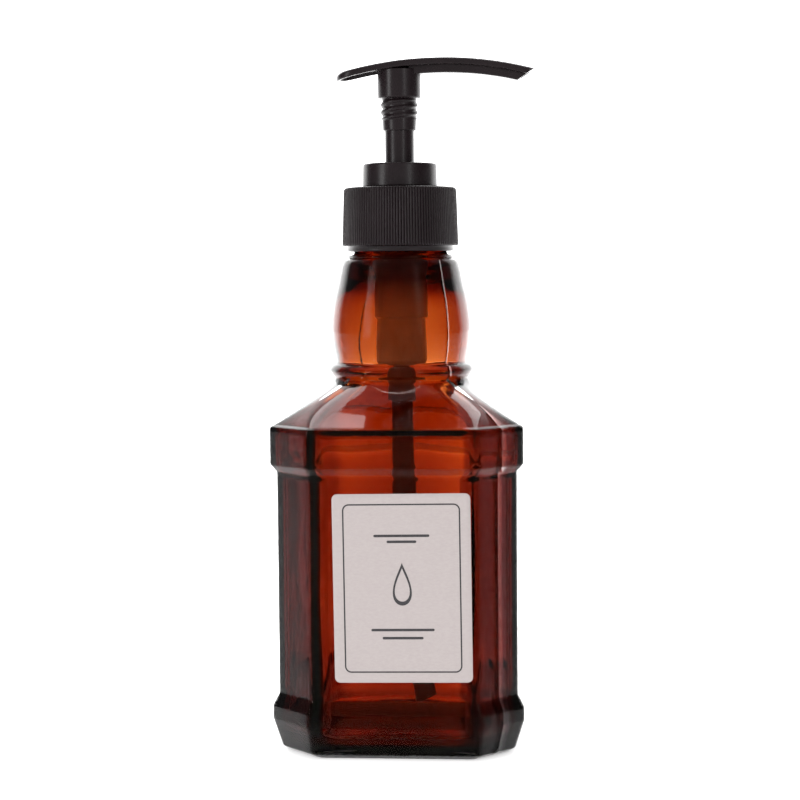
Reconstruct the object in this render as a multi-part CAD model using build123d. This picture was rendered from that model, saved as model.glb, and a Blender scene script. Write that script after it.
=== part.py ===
from build123d import *
import math
import os

# Soap pump dispenser: a square amber glass bottle with a round bulbous neck, a paper label, a ribbed screw
# collar and a long-stroke lotion pump. Millimetres, +Z up. The origin is the centre of the base, on the
# surface that the bottle stands on; the label faces -Y and the spout points along +X.

# ---- bottle, outside ----
BODY_HALF = 32.9            # half the width of the square body, across the flats
BODY_CHAMFER = 10.5          # leg of the body's corner chamfer
BAND_HALF = 34.7            # half width of the raised band under the shoulder
BAND_CHAMFER = 11.6
BASE_HALF = 34.6            # half width of the raised band round the base
BASE_CHAMFER = 11.4
FOOT_HALF = 31.2            # half width of the foot where it meets the surface
FOOT_CHAMFER = 9.5
EDGE_ROUND = 3.0            # rounding of every upright edge of the square part
FOOT_TOP = 9.4              # height at which the tapered foot reaches full width
BASE_BAND_TOP = 12.9
BODY_LOW = 16.2             # the flat sides of the body start here
BODY_HIGH = 77.2            # and end here
BAND_LOW = 79.4
BAND_HIGH = 89.4
SHOULDER_LOW = 90.2
SHOULDER_LOW_HALF = 32.4
SHOULDER_HIGH = 101.0
SHOULDER_POWER = 1.58       # how hollow the shoulder's curve is
SHOULDER_CHAMFER = 0.21     # chamfer's share of the half width at the top of the shoulder
CHAMFER_FADE = 1.9          # how early the band's wide chamfer gives way to it
SHOULDER_SQUARENESS = 7.0   # how late the shoulder turns from square to round
NEARLY_SQUARE = 0.001       # below this roundness a section's sides are drawn straight
SHOULDER_STEPS = 12
NECK_R = 19.3               # radius at the foot of the round neck
BEAD_R = 20.45
BEAD_Z = 103.8
BULB_LOW_Z = 106.0
BULB_LOW_R = 18.7
BULB_R = 19.7
BULB_Z = 114.0
BULB_MID_R = 18.8
BULB_MID_Z = 123.4
BULB_TOP_R = 16.4
BULB_TOP_Z = 133.9
BULB_EDGE_R = 16.05         # the bulb's rounded top edge passes this radius
BULB_LID_R = 15.2           # where the edge ends and the groove under the ring starts
GROOVE_R = 14.2
RING_R = 14.9               # transfer ring between the bulb and the collar
RING_Z = 135.6
FINISH_R = 12.5             # plain radius of the threaded finish
FINISH_LOW_R = 13.3
RIM_Z = 150.9
RIM_ROUND = 0.8

# ---- bottle, inside ----
WALL = 2.8
NECK_WALL = 2.6
SHOULDER_WALL_DROP = 0.6    # the shoulder's inside lies this share of the wall lower as well as inwards
NECK_FOOT_WALL = 3.0
FLOOR_Z = 6.5
FLOOR_INSET = 9.0           # the floor's flat ends this far inside the body's sides
FLOOR_CURVE_INSET = 5.0
FLOOR_CURVE_RISE = 1.2
FLOOR_CORNER = 6.0          # height of the curved corner between floor and wall
PUSH_UP = 1.6               # depth of the hollow under the base
PUSH_UP_INSET = 7.0         # width of the ring that the bottle stands on
MOUTH_R = 10.2

# ---- screw thread of the bottle's finish and of the collar ----
THREAD_PITCH = 4.233        # six threads to the inch
THREAD_TURNS = 1.25
THREAD_Z = 142.9
THREAD_CREST_R = 13.6
THREAD_FOOT_W = 2.2
THREAD_CREST_W = 0.9
COLLAR_THREAD_CREST_R = 12.9
COLLAR_THREAD_FOOT_W = 1.6
COLLAR_THREAD_CREST_W = 0.8
THREAD_ROOTED = 0.4         # how far a thread's foot reaches into its wall

# ---- label ----
LABEL_W = 37.1
LABEL_H = 51.0
LABEL_T = 0.15
LABEL_CORNER = 1.5
LABEL_X = 2.2               # the label is stuck a little to the right of the panel's middle
LABEL_Z = 47.1
LABEL_TILT = 0.5            # degrees, anticlockwise seen from the front

# ---- collar ----
COLLAR_LOW_Z = 138.6
COLLAR_TOP_Z = 154.95
COLLAR_LOW_R = 16.35
COLLAR_TOP_R = 15.9
COLLAR_EDGE = 0.7
COLLAR_BAND_Z = 137.1
COLLAR_BAND_R = 14.95
COLLAR_BORE_R = 14.0
COLLAR_HOLE_R = 9.75
COLLAR_CEILING_Z = 153.45
RIB_COUNT = 128
RIB_DEPTH = 0.28

# ---- pump body ----
CHAPLET_R = 10.45
CHAPLET_TOP_R = 10.3
CHAPLET_Z = 155.25
CHAPLET_TOP_Z = 161.6
CHAPLET_EDGE = 0.7
CHAPLET_SKIRT_R = 9.6
CHAPLET_SKIRT_Z = 153.25
LOCK_BORE_R = 5.45
WIPER_R = 4.17
WIPER_LOW_Z = 156.4
WIPER_HIGH_Z = 157.9
FLANGE_R = 12.9
FLANGE_LOW_Z = 151.9
FLANGE_TOP_Z = 153.15
TURRET_R = 7.95
HOUSING_R = 7.75
HOUSING_LOW_R = 7.0
HOUSING_STEP_Z = 118.9
HOUSING_SHOULDER_Z = 110.7
HOUSING_BORE_R = 6.3
SPRING_SEAT_Z = 111.5
BALL_ROOM_R = 3.0
VALVE_HOLE_R = 1.6
VALVE_SEAT_Z = 104.9
TAIL_R = 3.9
TAIL_TOP_Z = 106.4
TAIL_LOW_Z = 93.5
TUBE_STOP_Z = 103.9
TUBE_R = 2.95
TUBE_BORE_R = 2.2
TUBE_END_Z = 9.0
TUBE_END_X = 6.0            # the dip tube bows gently towards the spout's side
BALL_R = 2.38
BALL_GAP = 0.03

# ---- moving rod, piston and spring ----
STEM_R = 4.09
STEM_BORE_R = 2.6
STEM_LOW_Z = 144.9
STEM_TOP_Z = 182.2
ROD_R = 2.55
ROD_BORE_R = 1.5
ROD_TOP_Z = 153.5
ROD_SEAT_R = 4.9
ROD_SEAT_LOW_Z = 136.1
PISTON_LOW_Z = 137.5
PISTON_TOP_Z = 143.5
PISTON_R = 6.24
PISTON_LIP = 0.7
SPRING_R = 4.3
SPRING_WIRE_R = 0.5
SPRING_TURNS = 7.5

# ---- actuator ----
HUB_R = 6.0
HUB_LOW_Z = 179.6
PLUG_R = 4.8
PLUG_LOW_R = 4.62
PLUG_LOW_Z = 170.7
LOCK_THREAD_CREST_R = 5.2
LOCK_THREAD_LEAD = 4.2      # two starts, so the ridges are half of this apart
LOCK_THREAD_Z = 174.35
LOCK_THREAD_TURNS = 1.1
ARM_APEX_X = 13.0
ARM_APEX_Z = 190.75
ARM_TAIL_ARC = 117.0        # radius of the arm's arch on the tail side
ARM_SPOUT_ARC = 95.0        # and on the spout side
ARM_TAIL_X = -17.5
ARM_TIP_X = 37.9
ARM_TAIL_ROUND = 5.6
ARM_HALF = 6.4
ARM_TIP_HALF = 3.0          # the tip is round in plan, with this radius
ARM_EDGE = 2.1              # depth of the cover's edge
COVER_WALL = 1.0
CHANNEL_DEPTH = 4.35        # underside of the spout below the top of the arch
CHANNEL_HALF = 4.1
CHANNEL_BORE_HALF = 2.9
CHANNEL_FLOOR = 0.9
CHANNEL_SIDE = 0.9          # least side wall of the channel, where the arm is narrow
TIP_SLOPE = 1.5             # how far the cut end of the spout runs back for each millimetre down
ARM_REACH = 2.0             # the arm is drawn this much too long, then cut to its sloping end
HUB_ROOM = 20.0             # height of the plain cylinder that the hub is cut from


def rounded_octagon(half, chamfer, edge_round):
    """For each corner of a chamfered square: start, middle and end of its rounding, and the next side's middle."""
    inner = half - chamfer
    corners = [(half, -inner), (half, inner), (inner, half), (-inner, half)]
    corners += [(-x, -y) for x, y in corners]
    tangent = edge_round * math.tan(math.pi / 8)
    to_arc = edge_round / math.cos(math.pi / 8) - edge_round
    points = []
    for i, (x, y) in enumerate(corners):
        before = Vector(*corners[i - 1])
        here = Vector(x, y)
        after = Vector(*corners[(i + 1) % 8])
        back = (before - here).normalized()
        ahead = (after - here).normalized()
        start = here + back * tangent
        end = here + ahead * tangent
        middle = here + (back + ahead).normalized() * to_arc
        next_start = after + (here - after).normalized() * tangent
        points.append((start, middle, end, (end + next_start) * 0.5))
    return points


def section(z, half, chamfer, edge_round, roundness=0.0):
    """Outline at height z, from a rounded octagon (roundness 0) to a circle of radius half (roundness 1)."""
    def place(point):
        on_circle = point.normalized() * half
        blended = point + (on_circle - point) * roundness
        return Vector(blended.X, blended.Y, z)

    points = [[place(p) for p in group] for group in rounded_octagon(half, chamfer, edge_round)]
    edges = []
    for i, (start, middle, end, side) in enumerate(points):
        next_start = points[(i + 1) % 8][0]
        edges.append(Edge.make_three_point_arc(start, middle, end))
        if roundness < NEARLY_SQUARE:
            edges.append(Edge.make_line(end, next_start))
        else:
            edges.append(Edge.make_three_point_arc(end, side, next_start))
    return Wire(edges)


def shoulder_sections(inset):
    """Sections of the hollow-curved shoulder, from the square band to the round neck, moved in by inset."""
    wires = []
    for step in range(SHOULDER_STEPS + 1):
        rise = step / SHOULDER_STEPS
        z = SHOULDER_LOW + rise * (SHOULDER_HIGH - SHOULDER_LOW)
        half = NECK_R + (SHOULDER_LOW_HALF - NECK_R) * (1 - rise) ** SHOULDER_POWER - inset
        chamfer_share = BAND_CHAMFER / BAND_HALF * (1 - rise) ** CHAMFER_FADE + SHOULDER_CHAMFER * rise
        roundness = rise ** SHOULDER_SQUARENESS
        edge_round = EDGE_ROUND * half / BAND_HALF
        z -= SHOULDER_WALL_DROP * inset
        wires.append(section(z, half, chamfer_share * half, edge_round, roundness))
    return wires


def turned(points):
    """Solid of revolution about Z from a closed outline of (radius, z) points."""
    outline = Wire.make_polygon([Vector(r, 0, z) for r, z in points], close=True)
    return revolve(Face(outline), axis=Axis.Z)


def neck_outside():
    """Round part of the glass above the shoulder: bead, bulb, ring and finish, as one turned solid."""
    rim_reach = RIM_ROUND * math.sqrt(0.5)
    foot = Vector(NECK_R, 0, SHOULDER_HIGH - 0.1)
    bead_low = Vector(NECK_R, 0, BEAD_Z - 2.2)
    bead_mid = Vector(BEAD_R, 0, BEAD_Z)
    bulb_low = Vector(BULB_LOW_R, 0, BULB_LOW_Z)
    bulb_mid = Vector(BULB_R, 0, BULB_Z)
    bulb_top = Vector(BULB_TOP_R, 0, BULB_TOP_Z)
    shoulder = Vector(BULB_LID_R, 0, BULB_TOP_Z + 1.2)
    groove = Vector(GROOVE_R, 0, RING_Z - 0.45)
    ring = Vector(RING_R, 0, RING_Z)
    ring_top = Vector(FINISH_LOW_R, 0, RING_Z + 0.7)
    finish_low = Vector(FINISH_R, 0, RING_Z + 2.6)
    rim_low = Vector(FINISH_R, 0, RIM_Z - RIM_ROUND)
    rim_mid = Vector(FINISH_R - RIM_ROUND + rim_reach, 0, RIM_Z - RIM_ROUND + rim_reach)
    rim = Vector(FINISH_R - RIM_ROUND, 0, RIM_Z)
    middle = Vector(0, 0, RIM_Z)
    foot_middle = Vector(0, 0, SHOULDER_HIGH - 0.1)
    edges = [
        Edge.make_line(foot, bead_low),
        Edge.make_three_point_arc(bead_low, bead_mid, bulb_low),
        Edge.make_spline([bulb_low, bulb_mid, Vector(BULB_MID_R, 0, BULB_MID_Z), bulb_top]),
        Edge.make_three_point_arc(bulb_top, Vector(BULB_EDGE_R, 0, BULB_TOP_Z + 0.9), shoulder),
        Edge.make_line(shoulder, groove),
        Edge.make_line(groove, ring),
        Edge.make_line(ring, ring_top),
        Edge.make_line(ring_top, finish_low),
        Edge.make_line(finish_low, rim_low),
        Edge.make_three_point_arc(rim_low, rim_mid, rim),
        Edge.make_line(rim, middle),
        Edge.make_line(middle, foot_middle),
        Edge.make_line(foot_middle, foot),
    ]
    return revolve(Face(Wire(edges)), axis=Axis.Z)


def neck_inside():
    """The space inside the round part, down to the inside of the shoulder."""
    waist = NECK_R - NECK_FOOT_WALL
    belly = BULB_R - NECK_WALL
    bottom = SHOULDER_HIGH - SHOULDER_WALL_DROP * WALL - 0.1
    foot_middle = Vector(0, 0, bottom)
    foot = Vector(waist, 0, bottom)
    low = Vector(waist, 0, BULB_LOW_Z)
    mid = Vector(belly, 0, BULB_Z)
    high = Vector(BULB_TOP_R - NECK_WALL, 0, BULB_TOP_Z - 3.2)
    throat = Vector(MOUTH_R, 0, BULB_TOP_Z + 1.8)
    mouth = Vector(MOUTH_R, 0, RIM_Z + 1)
    middle = Vector(0, 0, RIM_Z + 1)
    edges = [
        Edge.make_line(foot_middle, foot),
        Edge.make_line(foot, low),
        Edge.make_spline([low, mid, Vector(BULB_MID_R - NECK_WALL, 0, BULB_MID_Z), high]),
        Edge.make_line(high, throat),
        Edge.make_line(throat, mouth),
        Edge.make_line(mouth, middle),
        Edge.make_line(middle, foot_middle),
    ]
    return revolve(Face(Wire(edges)), axis=Axis.Z)


def thread_ridge(foot_r, crest_r, foot_w, crest_w, pitch, turns, z, start_angle=0.0):
    """Helical ridge from radius foot_r to crest_r, right-handed, starting at height z."""
    path = Helix(pitch=pitch, height=pitch * turns, radius=foot_r)
    across = Plane(origin=path @ 0, x_dir=(1, 0, 0), z_dir=path % 0)
    rise = crest_r - foot_r
    corners = [(0, -foot_w / 2), (rise, -crest_w / 2), (rise, crest_w / 2), (0, foot_w / 2)]
    outline = Wire.make_polygon([across.from_local_coords(Vector(x, y, 0)) for x, y in corners], close=True)
    ridge = sweep(Face(outline), path=path, is_frenet=True)
    return Pos(0, 0, z) * Rot(0, 0, start_angle) * ridge


def bottle():
    """Square glass body with raised bands, hollow shoulder, bulbous neck and threaded finish."""
    outside = [
        section(0.0, FOOT_HALF, FOOT_CHAMFER, EDGE_ROUND),
        section(2.0, FOOT_HALF + 1.5, FOOT_CHAMFER + 0.8, EDGE_ROUND),
        section(FOOT_TOP, BASE_HALF, BASE_CHAMFER, EDGE_ROUND),
        section(BASE_BAND_TOP, BASE_HALF, BASE_CHAMFER, EDGE_ROUND),
        section(BODY_LOW, BODY_HALF, BODY_CHAMFER, EDGE_ROUND),
        section(BODY_HIGH, BODY_HALF, BODY_CHAMFER, EDGE_ROUND),
        section(BAND_LOW, BAND_HALF, BAND_CHAMFER, EDGE_ROUND),
        section(BAND_HIGH, BAND_HALF, BAND_CHAMFER, EDGE_ROUND),
    ]
    solid = Solid.make_loft(outside + shoulder_sections(0.0), ruled=True)
    inside = [
        section(FLOOR_Z, BODY_HALF - FLOOR_INSET, BODY_CHAMFER - 2, EDGE_ROUND),
        section(FLOOR_Z + FLOOR_CURVE_RISE, BODY_HALF - FLOOR_CURVE_INSET, BODY_CHAMFER - 1, EDGE_ROUND),
        section(FLOOR_Z + FLOOR_CORNER, BODY_HALF - WALL, BODY_CHAMFER, EDGE_ROUND),
        section(BODY_HIGH, BODY_HALF - WALL, BODY_CHAMFER, EDGE_ROUND),
        section(BAND_LOW + 1, BAND_HALF - WALL, BAND_CHAMFER, EDGE_ROUND),
        section(BAND_HIGH - 1.2, BAND_HALF - WALL, BAND_CHAMFER, EDGE_ROUND),
    ]
    hollow = Solid.make_loft(inside + shoulder_sections(WALL), ruled=True)
    solid = solid + neck_outside() - hollow - neck_inside()
    hollow_r = FOOT_HALF - PUSH_UP_INSET
    sphere_r = (hollow_r ** 2 + PUSH_UP ** 2) / (2 * PUSH_UP)
    solid = solid - Pos(0, 0, PUSH_UP - sphere_r) * Sphere(sphere_r)
    ridge = thread_ridge(FINISH_R - THREAD_ROOTED, THREAD_CREST_R, THREAD_FOOT_W + 0.4, THREAD_CREST_W,
                         THREAD_PITCH, THREAD_TURNS, THREAD_Z)
    return solid + ridge


def front_label():
    """Paper label on the front panel, a little off centre and not quite straight."""
    sheet = RectangleRounded(LABEL_W, LABEL_H, LABEL_CORNER)
    upright = Plane(origin=(LABEL_X, -BODY_HALF, LABEL_Z), x_dir=(1, 0, 0), z_dir=(0, -1, 0))
    return extrude(upright * Rot(0, 0, LABEL_TILT) * sheet, amount=LABEL_T)


def rib_outline(z, radius, depth):
    """Closed zigzag outline of the collar's fine ribs."""
    points = []
    for i in range(2 * RIB_COUNT):
        angle = math.pi * i / RIB_COUNT
        r = radius - depth * (i % 2)
        points.append(Vector(r * math.cos(angle), r * math.sin(angle), z))
    return Wire.make_polygon(points, close=True)


def ribbed_collar():
    """Screw collar: fine upright ribs outside, a plain band below, a turned bore and a thread inside."""
    ribs = [
        rib_outline(COLLAR_LOW_Z, COLLAR_LOW_R, RIB_DEPTH),
        rib_outline(COLLAR_TOP_Z - COLLAR_EDGE, COLLAR_TOP_R, RIB_DEPTH),
        rib_outline(COLLAR_TOP_Z, COLLAR_TOP_R - COLLAR_EDGE, 0.02),
    ]
    band_height = COLLAR_LOW_Z - COLLAR_BAND_Z
    align = (Align.CENTER, Align.CENTER, Align.MIN)
    solid = Solid.make_loft(ribs, ruled=True)
    solid = solid + Pos(0, 0, COLLAR_BAND_Z) * Cylinder(COLLAR_BAND_R, band_height + 0.5, align=align)
    bore_height = COLLAR_CEILING_Z - COLLAR_BAND_Z + 1
    solid = solid - Pos(0, 0, COLLAR_BAND_Z - 1) * Cylinder(COLLAR_BORE_R, bore_height, align=align)
    solid = solid - Pos(0, 0, COLLAR_CEILING_Z - 1) * Cylinder(COLLAR_HOLE_R, 4, align=align)
    ridge = thread_ridge(COLLAR_BORE_R + THREAD_ROOTED, COLLAR_THREAD_CREST_R, COLLAR_THREAD_FOOT_W + 0.3,
                         COLLAR_THREAD_CREST_W, THREAD_PITCH, THREAD_TURNS, THREAD_Z - THREAD_PITCH / 2)
    return solid + ridge


def chaplet():
    """Upper ring that the stem runs through: it snaps on the housing and traps the collar below it."""
    return turned([
        (TURRET_R, CHAPLET_SKIRT_Z), (CHAPLET_SKIRT_R, CHAPLET_SKIRT_Z), (CHAPLET_SKIRT_R, CHAPLET_Z),
        (CHAPLET_R, CHAPLET_Z), (CHAPLET_TOP_R, CHAPLET_TOP_Z - CHAPLET_EDGE),
        (CHAPLET_TOP_R - 0.3 * CHAPLET_EDGE, CHAPLET_TOP_Z - 0.3 * CHAPLET_EDGE),
        (CHAPLET_TOP_R - CHAPLET_EDGE, CHAPLET_TOP_Z), (LOCK_BORE_R + 0.4, CHAPLET_TOP_Z),
        (LOCK_BORE_R, CHAPLET_TOP_Z - 0.4), (LOCK_BORE_R, WIPER_HIGH_Z), (WIPER_R, WIPER_HIGH_Z),
        (WIPER_R, WIPER_LOW_Z), (TURRET_R, WIPER_LOW_Z),
    ])


def neck_gasket():
    """Flat sealing washer between the glass rim and the housing's flange."""
    return turned([(MOUTH_R + 0.1, RIM_Z), (FLANGE_R - 0.1, RIM_Z), (FLANGE_R - 0.1, FLANGE_LOW_Z),
                   (MOUTH_R + 0.1, FLANGE_LOW_Z)])


def pump_housing():
    """Pump cylinder that hangs in the neck: flange, stepped barrel, ball valve seat and tube socket."""
    turret_z = WIPER_LOW_Z
    seat_top = VALVE_SEAT_Z + BALL_ROOM_R - VALVE_HOLE_R
    return turned([
        (HOUSING_BORE_R, turret_z), (TURRET_R, turret_z), (TURRET_R, FLANGE_TOP_Z), (FLANGE_R, FLANGE_TOP_Z),
        (FLANGE_R, FLANGE_LOW_Z), (HOUSING_R, FLANGE_LOW_Z), (HOUSING_R, HOUSING_STEP_Z),
        (HOUSING_LOW_R, HOUSING_STEP_Z - 0.4), (HOUSING_LOW_R, HOUSING_SHOULDER_Z),
        (HOUSING_LOW_R - 0.9, HOUSING_SHOULDER_Z - 1.8), (TAIL_R + 0.6, TAIL_TOP_Z + 0.6), (TAIL_R, TAIL_TOP_Z),
        (TAIL_R - 0.1, TAIL_LOW_Z), (TUBE_R, TAIL_LOW_Z), (TUBE_R, TUBE_STOP_Z), (VALVE_HOLE_R, TUBE_STOP_Z),
        (VALVE_HOLE_R, VALVE_SEAT_Z), (BALL_ROOM_R, seat_top), (BALL_ROOM_R, SPRING_SEAT_Z),
        (HOUSING_BORE_R, SPRING_SEAT_Z),
    ])


def dip_tube():
    """Suction tube: straight in the housing's socket, then one long gentle arc to just above the floor."""
    drop = TAIL_LOW_Z - TUBE_END_Z
    bend = (drop ** 2 + TUBE_END_X ** 2) / (2 * TUBE_END_X)
    half_turn = math.asin(drop / bend) / 2
    middle = Vector(bend - bend * math.cos(half_turn), 0, TAIL_LOW_Z - bend * math.sin(half_turn))
    top = Vector(0, 0, TUBE_STOP_Z - 0.1)
    leaves = Vector(0, 0, TAIL_LOW_Z)
    end = Vector(TUBE_END_X, 0, TUBE_END_Z)
    path = Wire([Edge.make_line(top, leaves), Edge.make_three_point_arc(leaves, middle, end)])
    ring = Plane(origin=top, z_dir=(0, 0, -1)) * (Circle(TUBE_R) - Circle(TUBE_BORE_R))
    return sweep(ring, path=path)


def check_ball():
    """Valve ball that rests on the cone at the foot of the pump chamber."""
    centre_z = VALVE_SEAT_Z - VALVE_HOLE_R + (BALL_R + BALL_GAP) * math.sqrt(2)
    return Pos(0, 0, centre_z) * Sphere(BALL_R)


def return_spring():
    """Helical compression spring between the housing's step and the rod's seat."""
    low = SPRING_SEAT_Z + SPRING_WIRE_R + 0.05
    high = ROD_SEAT_LOW_Z - SPRING_WIRE_R - 0.05
    path = Helix(pitch=(high - low) / SPRING_TURNS, height=high - low, radius=SPRING_R)
    wire = Plane(origin=path @ 0, z_dir=path % 0) * Circle(SPRING_WIRE_R)
    return Pos(0, 0, low) * sweep(wire, path=path, is_frenet=True)


def piston_rod():
    """Hollow rod in the stem's foot: its seat carries the piston and takes the spring; a cross hole feeds it."""
    floor = ROD_SEAT_LOW_Z + 0.7
    rod = turned([
        (0, ROD_SEAT_LOW_Z), (ROD_SEAT_R, ROD_SEAT_LOW_Z), (ROD_SEAT_R, PISTON_LOW_Z - 0.4),
        (ROD_SEAT_R - 1.0, PISTON_LOW_Z), (ROD_R, PISTON_LOW_Z), (ROD_R, ROD_TOP_Z), (ROD_BORE_R, ROD_TOP_Z),
        (ROD_BORE_R, floor), (0, floor),
    ])
    port = Pos(0, 0, PISTON_LOW_Z + 1.0) * Rot(90, 0, 0) * Cylinder(0.7, 4 * ROD_R)
    return rod - port


def piston():
    """Sliding seal with a lip at each end, free to lift a little on its rod."""
    hub = ROD_R + 0.07
    waist = PISTON_R - 1.1
    return turned([
        (hub, PISTON_LOW_Z + 0.05), (waist - 0.9, PISTON_LOW_Z + 0.05), (waist - 0.9, PISTON_LOW_Z + 1.2),
        (PISTON_R - 0.5, PISTON_LOW_Z), (PISTON_R, PISTON_LOW_Z), (PISTON_R, PISTON_LOW_Z + PISTON_LIP),
        (waist, PISTON_LOW_Z + 2.2), (waist, PISTON_TOP_Z - 2.2), (PISTON_R, PISTON_TOP_Z - PISTON_LIP),
        (PISTON_R, PISTON_TOP_Z), (PISTON_R - 0.5, PISTON_TOP_Z), (waist - 0.9, PISTON_TOP_Z - 1.4),
        (hub, PISTON_TOP_Z - 1.4),
    ])


def stem():
    """Hollow stem from the piston rod up into the actuator's socket."""
    return turned([
        (ROD_R + 0.05, STEM_LOW_Z), (STEM_R - 0.3, STEM_LOW_Z), (STEM_R, STEM_LOW_Z + 0.3),
        (STEM_R, STEM_TOP_Z - 0.3), (STEM_R - 0.3, STEM_TOP_Z), (ROD_R + 0.05, STEM_TOP_Z),
    ])


def arch_z(x, depth):
    """Height of the arm's arch at x, a given depth below its top."""
    radius = ARM_TAIL_ARC if x < ARM_APEX_X else ARM_SPOUT_ARC
    centre_z = ARM_APEX_Z - radius
    return centre_z + math.sqrt((radius - depth) ** 2 - (x - ARM_APEX_X) ** 2)


def arch_edge(x_from, x_to, depth):
    """Arc along the arch between two places on the same side of its apex."""
    middle = (x_from + x_to) / 2
    return Edge.make_three_point_arc(*[Vector(x, 0, arch_z(x, depth)) for x in (x_from, middle, x_to)])


def arch_slab(top_depth, low_depth, x_from, x_to, half_width):
    """Curved slab between two depths below the top of the arch."""
    edges = [arch_edge(x_from, ARM_APEX_X, top_depth), arch_edge(ARM_APEX_X, x_to, top_depth)]
    low = [arch_edge(x_to, ARM_APEX_X, low_depth), arch_edge(ARM_APEX_X, x_from, low_depth)]
    edges.append(Edge.make_line(edges[-1] @ 1, low[0] @ 0))
    edges += low
    edges.append(Edge.make_line(low[-1] @ 1, edges[0] @ 0))
    return extrude(Face(Wire(edges)), amount=half_width, both=True)


def tangent_points(x_1, r_1, x_2, r_2):
    """Ends of the line that touches two circles centred on the X axis, on their +Y side."""
    lean = math.asin((r_1 - r_2) / (x_2 - x_1))
    return [Vector(x + r * math.sin(lean), r * math.cos(lean)) for x, r in ((x_1, r_1), (x_2, r_2))]


def arm_plan(inset, reach=0.0):
    """Plan of the arm: round tail, widest at the hub, narrow round tip, moved in by inset."""
    tail_x, tail_r = ARM_TAIL_X + ARM_TAIL_ROUND, ARM_TAIL_ROUND - inset
    tip_x, tip_r = ARM_TIP_X - ARM_TIP_HALF + reach, ARM_TIP_HALF - inset
    hub_r = ARM_HALF - inset
    tail, hub_tail = tangent_points(tail_x, tail_r, 0, hub_r)
    hub_tip, tip = tangent_points(0, hub_r, tip_x, tip_r)
    tail_2, hub_tail_2, hub_tip_2, tip_2 = [Vector(p.X, -p.Y) for p in (tail, hub_tail, hub_tip, tip)]
    outline = Wire([
        Edge.make_three_point_arc(tail_2, Vector(tail_x - tail_r, 0), tail),
        Edge.make_line(tail, hub_tail),
        Edge.make_three_point_arc(hub_tail, Vector(0, hub_r), hub_tip),
        Edge.make_line(hub_tip, tip),
        Edge.make_three_point_arc(tip, Vector(tip_x + tip_r, 0), tip_2),
        Edge.make_line(tip_2, hub_tip_2),
        Edge.make_three_point_arc(hub_tip_2, Vector(0, -hub_r), hub_tail_2),
        Edge.make_line(hub_tail_2, tail_2),
    ])
    return Pos(0, 0, 150) * extrude(Face(outline), amount=60, dir=(0, 0, 1))


def past_the_tip():
    """Everything beyond the sloping cut at the end of the spout."""
    top = ARM_APEX_Z + 5
    low = ARM_APEX_Z - 15
    tip_z = arch_z(ARM_TIP_X, 0)
    corners = [(ARM_TIP_X + TIP_SLOPE * (top - tip_z), top), (ARM_TIP_X + 30, top), (ARM_TIP_X + 30, low),
               (ARM_TIP_X - TIP_SLOPE * (tip_z - low), low)]
    outline = Wire.make_polygon([Vector(x, 0, z) for x, z in corners], close=True)
    return extrude(Face(outline), amount=20, both=True)


def hub_cylinder(radius):
    """Plain cylinder from the hub's foot up through the arm."""
    align = (Align.CENTER, Align.CENTER, Align.MIN)
    return Pos(0, 0, HUB_LOW_Z) * Cylinder(radius, HUB_ROOM, align=align)


def actuator_cover():
    """Arched top plate with a shallow skirt, open below."""
    far = ARM_TIP_X + ARM_REACH
    outer = arch_slab(0, ARM_EDGE, ARM_TAIL_X - 1, far, 12) & arm_plan(0)
    inner = arch_slab(COVER_WALL, ARM_EDGE + 3, ARM_TAIL_X - 1, far + 1, 12) & arm_plan(COVER_WALL)
    hub_space = hub_cylinder(HUB_R) & arch_slab(COVER_WALL, ARM_EDGE + 8, ARM_TAIL_X, far, 12)
    return outer - inner - hub_space - past_the_tip()


def actuator_body():
    """Hub with the stem's socket and the lock thread, and the spout's channel under the cover."""
    far = ARM_TIP_X + ARM_REACH
    below_cover = arch_slab(COVER_WALL, 16, ARM_TAIL_X, far, 12)
    channel_plan = Pos(far / 2, 0, 180) * Box(far, 2 * CHANNEL_HALF, 40)
    bore_plan = Pos(far / 2 + 1, 0, 180) * Box(far + 2, 2 * CHANNEL_BORE_HALF, 40)
    spout = arch_slab(COVER_WALL, CHANNEL_DEPTH, -1, far, 12) & channel_plan & arm_plan(COVER_WALL + 0.02)
    spout_bore = arch_slab(COVER_WALL - 0.5, CHANNEL_DEPTH - CHANNEL_FLOOR, -1, far + 1, 12) & bore_plan
    spout_bore = spout_bore & arm_plan(COVER_WALL + CHANNEL_SIDE, ARM_TIP_HALF)
    plug = turned([
        (0, PLUG_LOW_Z), (PLUG_LOW_R, PLUG_LOW_Z), (PLUG_R - 0.05, LOCK_THREAD_Z), (PLUG_R, HUB_LOW_Z + 0.5),
        (0, HUB_LOW_Z + 0.5),
    ])
    body = (hub_cylinder(HUB_R) & below_cover) + plug + spout - spout_bore
    socket = turned([
        (0, PLUG_LOW_Z - 1), (STEM_R, PLUG_LOW_Z - 1), (STEM_R, STEM_TOP_Z), (STEM_BORE_R, STEM_TOP_Z),
        (STEM_BORE_R, arch_z(0, COVER_WALL + 1.0)), (0, arch_z(0, COVER_WALL + 1.0)),
    ])
    body = body - socket - past_the_tip()
    for start_angle in (0, 180):
        body = body + thread_ridge(PLUG_R - 0.25, LOCK_THREAD_CREST_R, 1.3, 0.25, LOCK_THREAD_LEAD,
                                   LOCK_THREAD_TURNS, LOCK_THREAD_Z, start_angle)
    return body


PARTS = {
    "bottle": bottle,
    "front_label": front_label,
    "ribbed_collar": ribbed_collar,
    "chaplet": chaplet,
    "neck_gasket": neck_gasket,
    "pump_housing": pump_housing,
    "dip_tube": dip_tube,
    "check_ball": check_ball,
    "return_spring": return_spring,
    "piston_rod": piston_rod,
    "piston": piston,
    "stem": stem,
    "actuator_body": actuator_body,
    "actuator_cover": actuator_cover,
}

os.makedirs("parts", exist_ok=True)
for name, make in PARTS.items():
    export_step(make(), f"parts/{name}.step")
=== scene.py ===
import math

import bmesh
import bpy
from mathutils import Matrix, Vector, noise


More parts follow.
